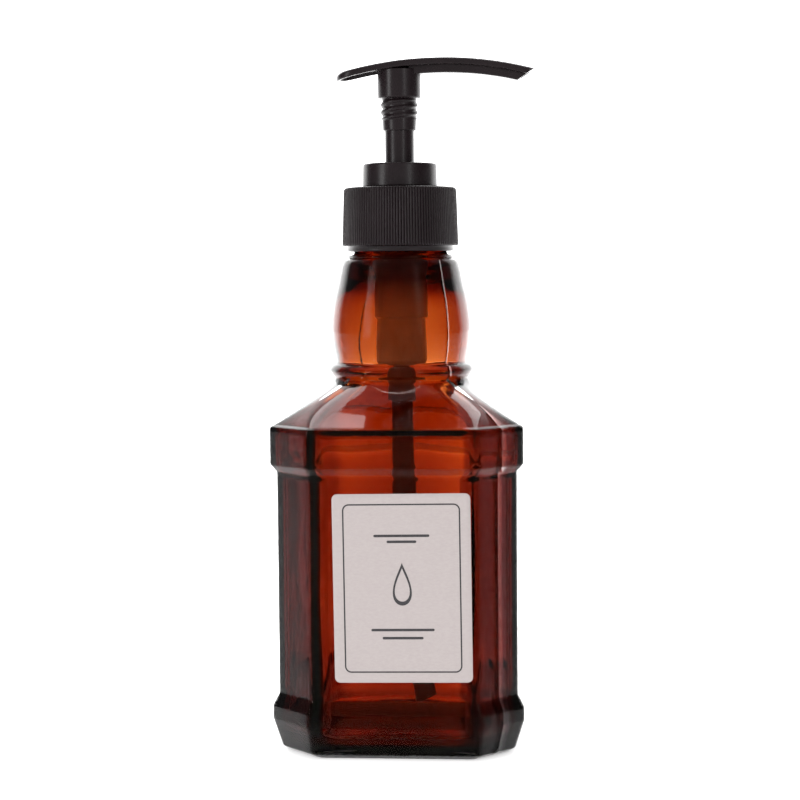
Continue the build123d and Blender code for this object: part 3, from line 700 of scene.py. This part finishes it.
def scaled(shape, factor, centre=(0, 0)):
    """Shape grown or shrunk about a centre."""
    cu, cv = centre
    return [(cu + (u - cu) * factor, cv + (v - cv) * factor) for u, v in shape]


def drop_shape(cx, cz, size, steps=48):
    """Outline of a plain water drop, pointed at the top."""
    points = []
    for k in range(steps):
        a = 2 * math.pi * k / steps
        width = math.sin(a) * math.sin(a / 2) ** 1.4
        points.append((cx - size * 0.62 * width, cz + size * math.cos(a)))
    return points


def label_print():
    """Plain border, a drop outline and short rules."""
    border = rounded_rect(BORDER_W, BORDER_H, BORDER_CORNER)
    inside = rounded_rect(BORDER_W - 2 * BORDER_LINE, BORDER_H - 2 * BORDER_LINE, BORDER_CORNER - BORDER_LINE)
    printed("label_border", [(border, inside)])
    outer = drop_shape(0.0, 1.2, DROP_SIZE)
    printed("label_drop", [(outer, scaled(outer, 0.78, (0.0, 0.3)))])
    rules = []
    for v, width in RULES:
        line = rounded_rect(width, RULE_THICK, 0.33, 3)
        line = [(u, w + v) for u, w in line]
        rules.append((line, scaled(line, 0.02, (0.0, v))))
    printed("label_rules", rules)


# ------------------------------------------------------------------ collar, chaplet, stem

def collar():
    """Screw collar: rounded upright ribs, a soft top edge, a plain band below, a threaded bore."""
    low, top = COLLAR_LOW.z / MM, COLLAR_HIGH.z / MM
    rib_low = low + COLLAR_BAND
    # radius, z and the share of the rib's depth there
    outside = [(14.75, low, 0), (14.93, low + 0.15, 0), (14.95, low + 0.5, 0),
               (14.95, rib_low - 0.15, 0), (15.15, rib_low, 0), (15.85, rib_low + 0.02, 0.25),
               (16.18, rib_low + 0.12, 0.7), (COLLAR_LOW_R, rib_low + 0.45, 1)]
    steps = 16
    for k in range(1, steps):
        part = k / steps
        outside.append((COLLAR_LOW_R + (COLLAR_TOP_R - COLLAR_LOW_R) * part,
                        rib_low + 0.45 + (top - 1.35 - rib_low) * part, 1))
    outside += [(15.82, top - 0.8, 1), (15.72, top - 0.5, 0.8), (15.5, top - 0.22, 0.35),
                (15.2, top - 0.06, 0), (14.8, top, 0), (12.5, top, 0), (10.2, top, 0)]
    inside = [(9.95, top - 0.05, 0), (9.75, top - 0.25, 0), (9.75, top - 1.5, 0), (13.7, top - 1.5, 0),
              (COLLAR_BORE_R, top - 1.8, 0)]
    z = top - 2.2
    while z > low + 0.8:
        inside.append((COLLAR_BORE_R, z, THREADED))
        z -= 0.45
    inside += [(COLLAR_BORE_R, low + 0.4, 0), (14.25, low, 0)]
    count = RIB_COUNT * RIB_POINTS
    thread_low, thread_high = low + 3.2, low + 12.0
    rings = []
    for r, z, ribs in outside + inside:
        ring = []
        for j in range(count):
            angle = 2 * math.pi * j / count
            rr = r
            if ribs == THREADED:
                rr = r - ridge(COLLAR_THREAD, z, thread_low, thread_high, THREAD_PITCH, 1, angle, 0.85, 1.5)
            elif ribs > 0:
                phase = (j % RIB_POINTS) / RIB_POINTS
                crest = abs(math.sin(math.pi * phase)) ** 0.8
                rr = r - RIB_DEPTH * ribs * (1 - crest)
            ring.append((rr * math.cos(angle), rr * math.sin(angle), z))
        rings.append(ring)
    verts, faces = loft(rings, closed=True)
    return build("collar_shell", verts, faces, "collar", BLACK, ["ribbed_collar"],
                 sharp_deg=70)


def soft_profile(points, radii, steps=4):
    """Closed outline of (radius, z) corners, each rounded by its radius."""
    ring = [points[-1], *points, points[0]]
    out = rounded(ring, [0, *radii, 0], steps)
    return out[1:-1]


def chaplet():
    """Ring snapped into the top of the barrel; the stem slides in it and the plug locks into it."""
    low, top = CHAPLET_LOW.z / MM, CHAPLET_HIGH.z / MM
    skirt, ledge, web = low + 2.0, top - 3.7, top - 5.2
    corners = [(8.0, low), (9.55, low), (9.55, skirt), (10.45, skirt), (10.32, top), (5.5, top),
               (5.45, ledge), (4.22, ledge), (4.22, web), (8.0, web)]
    radii = [0.1, 0.15, 0.1, 0.2, 0.75, 0.5, 0.1, 0.15, 0.15, 0.1]
    verts, faces = turned(soft_profile(corners, radii, 5), 128)
    return build("chaplet_ring", verts, faces, "pump_unit", BLACK, ["chaplet"],
                 sharp_deg=60)


def stem():
    """Hollow stem that carries the head."""
    low, top = STEM_LOW.z / MM, STEM_HIGH.z / MM
    corners = [(STEM_BORE_R, low), (STEM_R, low), (STEM_R, top), (STEM_BORE_R, top)]
    verts, faces = turned(refined(soft_profile(corners, [0.1, 0.3, 0.3, 0.1], 3), 3.0), 72)
    return build("stem_tube", verts, faces, "head", BLACK, ["stem"], sharp_deg=60)


# ------------------------------------------------------------------ pump body and tube

def housing():
    """Barrel that hangs in the neck, with its flange, step, shoulder and tube socket."""
    low, top = HOUSING_LOW.z / MM, HOUSING_HIGH.z / MM
    flange_top, seat = FLANGE_Z + FLANGE_THICK, BARREL_SEAT_Z
    corners = [
        (BARREL_BORE_R, top), (7.9, top), (7.9, flange_top), (FLANGE_R, flange_top), (FLANGE_R, FLANGE_Z),
        (BARREL_R, FLANGE_Z), (BARREL_R, BARREL_STEP_Z), (BARREL_LOW_R, BARREL_STEP_Z - 0.5),
        (BARREL_LOW_R, seat - 4.2), (6.4, seat - 5.4), (4.6, seat - 5.9), (3.9, seat - 6.4),
        (3.8, low), (2.98, low), (2.98, 103.9), (1.6, 103.9), (1.6, 104.9), (3.0, 106.3), (3.0, seat),
        (BARREL_BORE_R, seat),
    ]
    radii = [0.2, 0.2, 0.2, 0.3, 0.3, 0.5, 0.25, 0.3, 0.6, 0.4, 0.4, 0.4, 0.25, 0.1, 0.1, 0.1, 0.1,
             0.2, 0.2, 0.3]
    verts, faces = turned(refined(soft_profile(corners, radii, 4), 4.0), 96)
    return build("housing_barrel", verts, faces, "pump_unit", HOUSING, ["pump_housing"],
                 sharp_deg=60)


def suction_tube():
    """Soft tube with a gentle bow and a slanted cut at its foot."""
    top = TUBE_HIGH.z / MM
    end = TUBE_LOW.z / MM + 0.3
    drop = TUBE_STRAIGHT_LOW - end
    bend = (drop ** 2 + TUBE_BOW ** 2) / (2 * TUBE_BOW)
    full = math.asin(drop / bend)
    path = [(0.0, top - k * (top - TUBE_STRAIGHT_LOW) / 4, 0.0) for k in range(5)]
    steps = 40
    for k in range(1, steps + 1):
        a = full * k / steps
        path.append((bend - bend * math.cos(a), TUBE_STRAIGHT_LOW - bend * math.sin(a), a))
    count = 48
    shells = []
    for radius in (TUBE_R, TUBE_BORE_R):
        rings = []
        for i, (x, z, a) in enumerate(path):
            at_foot = i == len(path) - 1
            ring = []
            for j in range(count):
                t = 2 * math.pi * j / count
                across = radius * math.cos(t)
                cut = TUBE_SLANT * across + TUBE_CUT_RISE if at_foot else 0.0
                ring.append((x + across * math.cos(a), radius * math.sin(t), z + across * math.sin(a) + cut))
            rings.append(ring)
        shells.append(rings)
    rings = shells[0] + list(reversed(shells[1]))
    verts, faces = loft(rings, closed=True)
    return build("suction_tube", verts, faces, "pump_unit", TUBE, ["dip_tube"],
                 sharp_deg=60)


# ------------------------------------------------------------------ actuator

APEX_Z = COVER_HIGH.z / MM
TAIL_X = COVER_LOW.x / MM
TIP_X = COVER_HIGH.x / MM


def arch_z(x, depth):
    """Height of the arm's arch at x, a given depth below its top."""
    radius = ARM_TAIL_ARC if x < ARM_APEX_X else ARM_SPOUT_ARC
    return APEX_Z - radius + math.sqrt((radius - depth) ** 2 - (x - ARM_APEX_X) ** 2)


def arm_half(x):
    """Half width of the arm's straight-sided plan at x: widest at the hub, narrower at both ends."""
    tail_centre = TAIL_X + ARM_TAIL_ROUND
    tip_centre = TIP_X - ARM_TIP_ROUND
    if x < 0:
        part = max(0.0, min(1.0, (x - tail_centre) / (0 - tail_centre)))
        return ARM_TAIL_ROUND + (ARM_HALF - ARM_TAIL_ROUND) * part
    return ARM_HALF + (ARM_TIP_ROUND - ARM_HALF) * min(1.0, x / tip_centre)


def tip_cut():
    """Plane of the sloping cut at the end of the spout."""
    return (TIP_X, 0, arch_z(TIP_X, 0)), (1, 0, -TIP_SLOPE)


def arm_ring(inset, depth, spread=1.0, crown=0.0):
    """Closed ring of the arm's plan moved in by inset; spread below 1 draws it towards the middle line."""
    tail_centre = TAIL_X + ARM_TAIL_ROUND
    tip_centre = TIP_X - ARM_TIP_ROUND + TIP_SPARE
    points = []
    stations = 44
    for k in range(stations + 1):
        x = tail_centre + (tip_centre - tail_centre) * k / stations
        points.append((x, -(arm_half(x) - inset)))
    radius = ARM_TIP_ROUND - inset
    for k in range(1, 16):
        a = math.radians(-90 + 180 * k / 16)
        points.append((tip_centre + radius * math.cos(a), radius * math.sin(a)))
    for k in range(stations + 1):
        x = tip_centre - (tip_centre - tail_centre) * k / stations
        points.append((x, arm_half(x) - inset))
    radius = ARM_TAIL_ROUND - inset
    for k in range(1, 24):
        a = math.radians(90 + 180 * k / 24)
        points.append((tail_centre + radius * math.cos(a), radius * math.sin(a)))
    ring = []
    for x, y in points:
        middle = max(tail_centre, min(x, tip_centre))
        px = middle + (x - middle) * spread
        py = y * spread
        sag = crown * (py / arm_half(px)) ** 2
        ring.append((px, py, arch_z(px, depth + sag)))
    return ring


def actuator_top():
    """Arched top plate: slightly crowned, softly rounded edge, thin skirt, hollow below."""
    rings = [arm_ring(0.9, 0.0, s, 0.28) for s in (0.02, 0.2, 0.4, 0.6, 0.8, 1.0)]
    for deg in (20, 45, 70, 90):
        a = math.radians(deg)
        rings.append(arm_ring(0.75 - 0.75 * math.sin(a), 0.28 + 0.7 * (1 - math.cos(a))))
    rings += [arm_ring(0.0, d) for d in (1.2, 1.55, 1.85)]
    rings += [arm_ring(0.1, 2.02), arm_ring(0.3, ARM_EDGE), arm_ring(0.75, ARM_EDGE), arm_ring(0.95, 2.0)]
    rings += [arm_ring(1.0, d) for d in (1.7, 1.4)]
    rings += [arm_ring(1.15, 1.15, 1.0), arm_ring(1.4, 1.05, 1.0)]
    rings += [arm_ring(1.4, 1.03, s, 0.1) for s in (0.8, 0.5, 0.25, 0.02)]
    verts, faces = fan_capped(rings)
    return build("actuator_top", verts, faces, "head", BLACK, ["actuator_cover"],
                 sharp_deg=60, cut=tip_cut())


def actuator_hub():
    """Hub with its stepped foot, lock-thread plug and stem socket."""
    plug_low = ACTUATOR_LOW.z / MM
    corners = [(HUB_BORE_R, plug_low), (4.62, plug_low), (PLUG_R, 173.4), (4.8, HUB_LOW),
               (5.95, HUB_LOW), (HUB_R, 182.0), (HUB_R, HUB_TOP), (HUB_BORE_R, HUB_TOP)]
    radii = [0.1, 0.2, 0.3, 0.15, 0.45, 0.3, 0.2, 0.2]
    profile = refined(soft_profile(corners, radii, 4), 0.22)

    def threaded(r, z, angle):
        """Only the plug's outside carries the thread, not its bore or the hub above."""
        if not 4.4 <= r <= 5.0:
            return r
        return r + ridge(LOCK_RISE, z, LOCK_LOW, LOCK_HIGH, LOCK_LEAD, 2, angle, 0.75, 0.6)

    verts, faces = turned(profile, 96, threaded)
    return build("actuator_hub", verts, faces, "head", BLACK, ["actuator_body"],
                 sharp_deg=60)


def spout_channel():
    """Spout tube moulded under the cover, open at the slanted tip."""
    start, end, steps = 3.0, TIP_X + TIP_SPARE, 48

    def section(half, top, low, round_low):
        """Outline of (y, depth) with rounded lower corners."""
        points = [(-half, top), (-half, low - round_low)]
        for side, first in ((-1, 180), (1, 270)):
            for k in range(1, 6):
                a = math.radians(first + 90 * k / 6)
                points.append((side * (half - round_low) + round_low * math.cos(a),
                               low - round_low - round_low * math.sin(a)))
            if side < 0:
                points += [(-half / 2, low), (half / 2, low)]
        return points + [(half, low - round_low), (half, top), (half / 2, top), (0, top), (-half / 2, top)]

    def shell(half_most, side_wall, top, low, round_low, first):
        """Rings from first to the tip; they narrow with the arm where it is slimmer than half_most."""
        rings = []
        for k in range(steps + 1):
            x = first + (end - first) * k / steps
            half = min(half_most, arm_half(x) - COVER_WALL - side_wall)
            rings.append([(x, y, arch_z(x, depth)) for y, depth in section(half, top, low, round_low)])
        return rings

    outer = shell(CHANNEL_HALF, 0.1, 1.06, CHANNEL_DEPTH, 0.45, start)
    inner = shell(CHANNEL_BORE_HALF, 0.9, 1.35, CHANNEL_DEPTH - 0.9, 0.4, start + 1.5)
    verts, faces = loft(outer + list(reversed(inner)))
    return build("spout_channel", verts, faces, "head", BLACK, sharp_deg=50,
                 cut=tip_cut())


def spring():
    """Compression spring with a closed turn at each end."""
    low, high = SPRING_LOW.z / MM, SPRING_HIGH.z / MM
    wire_r, turns = SPRING_WIRE_R, SPRING_TURNS
    per_turn, around = 32, 10
    seat = 1.0 / turns
    open_height = high - low - 2 * wire_r - 2 * seat * turns * 2 * wire_r
    rings = []
    count = round(turns * per_turn)
    for i in range(count + 1):
        part = i / count
        free = max(0.0, min(1.0, (part - seat) / (1 - 2 * seat)))
        closed = min(part, seat) + max(0.0, part - 1 + seat)
        climb = closed * turns * 2 * wire_r
        z = low + wire_r + climb + open_height * free
        angle = 2 * math.pi * turns * part
        ring = []
        for j in range(around):
            a = 2 * math.pi * j / around
            r = SPRING_R + wire_r * math.cos(a)
            ring.append((r * math.cos(angle), r * math.sin(angle), z + wire_r * math.sin(a)))
        rings.append(ring)
    verts, faces = loft(rings)
    coil = build("spring_coil", verts, faces, "pump_unit", STEEL, ["return_spring"],
                 sharp_deg=60)
    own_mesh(coil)
    return coil


# ------------------------------------------------------------------ carried-over CAD parts

def finish_cad_parts():
    """Materials of the inner parts that are shown as the CAD has them."""
    finishes = {"neck_gasket": FOAM, "check_ball": CLEAR, "piston_rod": NATURAL, "piston": NATURAL}
    for node, mat in finishes.items():
        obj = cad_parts[node]
        obj.data.materials.clear()
        obj.data.materials.append(mat)


# ------------------------------------------------------------------ stage, light, camera

def floor_material():
    """Pale matt floor with painted light: it glows like a light table, strongly behind the bottle and a
    little round its foot, where the glow paints out the contact shadow.
    """
    mat, nodes, links, bsdf = material("floor")
    tone = to_range(nodes, links, object_noise(nodes, links, 3, detail=4), 0.0, 1.0)
    shade = mix_colour(nodes, links, tone, (0.93, 0.93, 0.93), (0.95, 0.95, 0.95))
    links.new(shade, bsdf.inputs["Base Color"])
    bsdf.inputs["Roughness"].default_value = 0.6
    bsdf.inputs["Emission Color"].default_value = (1, 1, 1, 1)
    coord = nodes.new("ShaderNodeTexCoord")
    split = nodes.new("ShaderNodeSeparateXYZ")
    links.new(coord.outputs["Object"], split.inputs["Vector"])
    glow = to_range(nodes, links, split.outputs["Y"], FLOOR_GLOW_LOW, FLOOR_GLOW_HIGH, 0.0, 0.05)
    heading = nodes.new("ShaderNodeVectorMath")
    heading.operation = "NORMALIZE"
    links.new(coord.outputs["Object"], heading.inputs[0])
    turned_back = nodes.new("ShaderNodeSeparateXYZ")
    links.new(heading.outputs["Vector"], turned_back.inputs["Vector"])
    away = nodes.new("ShaderNodeVectorMath")
    away.operation = "LENGTH"
    links.new(coord.outputs["Object"], away.inputs[0])
    # Painted light: the floor's own glow, summed from the part behind the bottle and the ring round the foot.
    painted_floor_glow = nodes.new("ShaderNodeMath")
    painted_floor_glow.operation = "MULTIPLY_ADD"
    links.new(to_range(nodes, links, turned_back.outputs["Y"], 0.0, 1.0, 0.35, 0.60), painted_floor_glow.inputs[0])
    links.new(glow, painted_floor_glow.inputs[1])
    # Painted light: a ring of glow round the foot that paints out the foot's contact shadow.
    painted_foot_glow = to_range(nodes, links, away.outputs["Value"], FLOOR_GLOW_NEAR, 0.0, 0.06, 0.15)
    links.new(painted_foot_glow, painted_floor_glow.inputs[2])
    links.new(painted_floor_glow.outputs["Value"], bsdf.inputs["Emission Strength"])
    return mat


def stage():
    """Floor under the bottle."""
    bpy.ops.mesh.primitive_circle_add(vertices=96, radius=4.0, fill_type="NGON", location=(0, 0, 0))
    floor = bpy.context.object
    floor.name = "floor"
    floor.data.materials.append(floor_material())


def softbox(name, place, target, width, height, power):
    """Rectangular white area light, turned to the target; lengths in metres, power in watts."""
    light = bpy.data.lights.new(name, "AREA")
    light.shape = "RECTANGLE"
    light.size, light.size_y = width, height
    light.energy = power
    obj = bpy.data.objects.new(name, light)
    obj.location = place
    obj.rotation_mode = "QUATERNION"
    obj.rotation_quaternion = (Vector(target) - Vector(place)).to_track_quat("-Z", "Y")
    bpy.context.scene.collection.objects.link(obj)


def lighting():
    """Room bright behind the bottle, softer in front, dark at the sides, with softboxes above and before.

    The camera sees the backdrop's white in every direction; the glass sees the room.
    """
    world = bpy.data.worlds.new("studio")
    bpy.context.scene.world = world
    world.use_nodes = True
    nodes, links = world.node_tree.nodes, world.node_tree.links
    back = nodes["Background"]
    coord = nodes.new("ShaderNodeTexCoord")
    split = nodes.new("ShaderNodeSeparateXYZ")
    links.new(coord.outputs["Generated"], split.inputs["Vector"])
    behind = to_range(nodes, links, split.outputs["Y"], 0.0, 1.0, 0.40, 0.60)
    before = to_range(nodes, links, split.outputs["Y"], 1.0, 0.0, -0.80, -0.35)
    overhead = to_range(nodes, links, split.outputs["Z"], 0.0, 1.0, 0.45, 0.95)
    sides = mix_colour(nodes, links, before, SIDE_WALL, FRONT_WALL)
    wall = mix_colour(nodes, links, behind, sides, BACKDROP)
    room = mix_colour(nodes, links, overhead, wall, CEILING)
    seen = nodes.new("ShaderNodeLightPath").outputs["Is Camera Ray"]
    links.new(mix_colour(nodes, links, seen, room, BACKDROP), back.inputs["Color"])
    back.inputs["Strength"].default_value = 1.0
    middle = (0, 0, 0.1)
    softbox("rear_left_box", (-0.36, 0.45, 1.2), middle, 0.42, 0.42, 3.6)
    softbox("rear_right_box", (0.2, 0.68, 1.19), middle, 0.45, 0.45, 4.0)
    softbox("top_strip", (0.0, -0.05, 1.2), middle, 0.8, 0.05, 1.5)
    softbox("front_right_box", (0.62, -0.9, 0.45), middle, 0.16, 0.8, 2.4)
    softbox("front_left_box", (-0.95, -0.72, 0.32), middle, 0.3, 0.9, 7.5)


SENSOR = 36.0
LENS = 85.455
CAMERA_AWAY = 535.5
CAMERA_Z = 133.8
CAMERA_AZIMUTH = 4.36
CAMERA_PITCH = 4.12
CAMERA_ROLL = 0.5
CAMERA_YAW = 0.054          # the bottle's axis stands a little right of the picture's middle


def camera():
    """Camera a little above the pump's neck, turned a few degrees from the front."""
    data = bpy.data.cameras.new("camera")
    data.sensor_width = SENSOR
    data.lens = LENS
    data.clip_start, data.clip_end = 0.01, 50
    obj = bpy.data.objects.new("camera", data)
    bpy.context.scene.collection.objects.link(obj)
    a, p, r = (math.radians(d) for d in (CAMERA_AZIMUTH, CAMERA_PITCH, CAMERA_ROLL))
    turn = a + math.radians(CAMERA_YAW)
    forward = Vector((-math.sin(turn) * math.cos(p), math.cos(turn) * math.cos(p), -math.sin(p)))
    right = Vector((math.cos(turn), math.sin(turn), 0))
    up = right.cross(forward)
    x_axis = right * math.cos(r) - up * math.sin(r)
    y_axis = right * math.sin(r) + up * math.cos(r)
    place = Vector((CAMERA_AWAY * math.sin(a), -CAMERA_AWAY * math.cos(a), CAMERA_Z)) * MM
    basis = Matrix((x_axis, y_axis, -forward)).transposed().to_4x4()
    basis.translation = place
    obj.matrix_world = basis
    bpy.context.scene.camera = obj


camera()
lighting()
stage()
bottle()
label()
label_print()
collar()
chaplet()
stem()
housing()
suction_tube()
actuator_top()
actuator_hub()
spout_channel()
spring()
finish_cad_parts()
bpy.context.scene.view_settings.view_transform = "Standard"
bpy.context.scene.cycles.max_bounces = 16
bpy.context.scene.cycles.transmission_bounces = 16
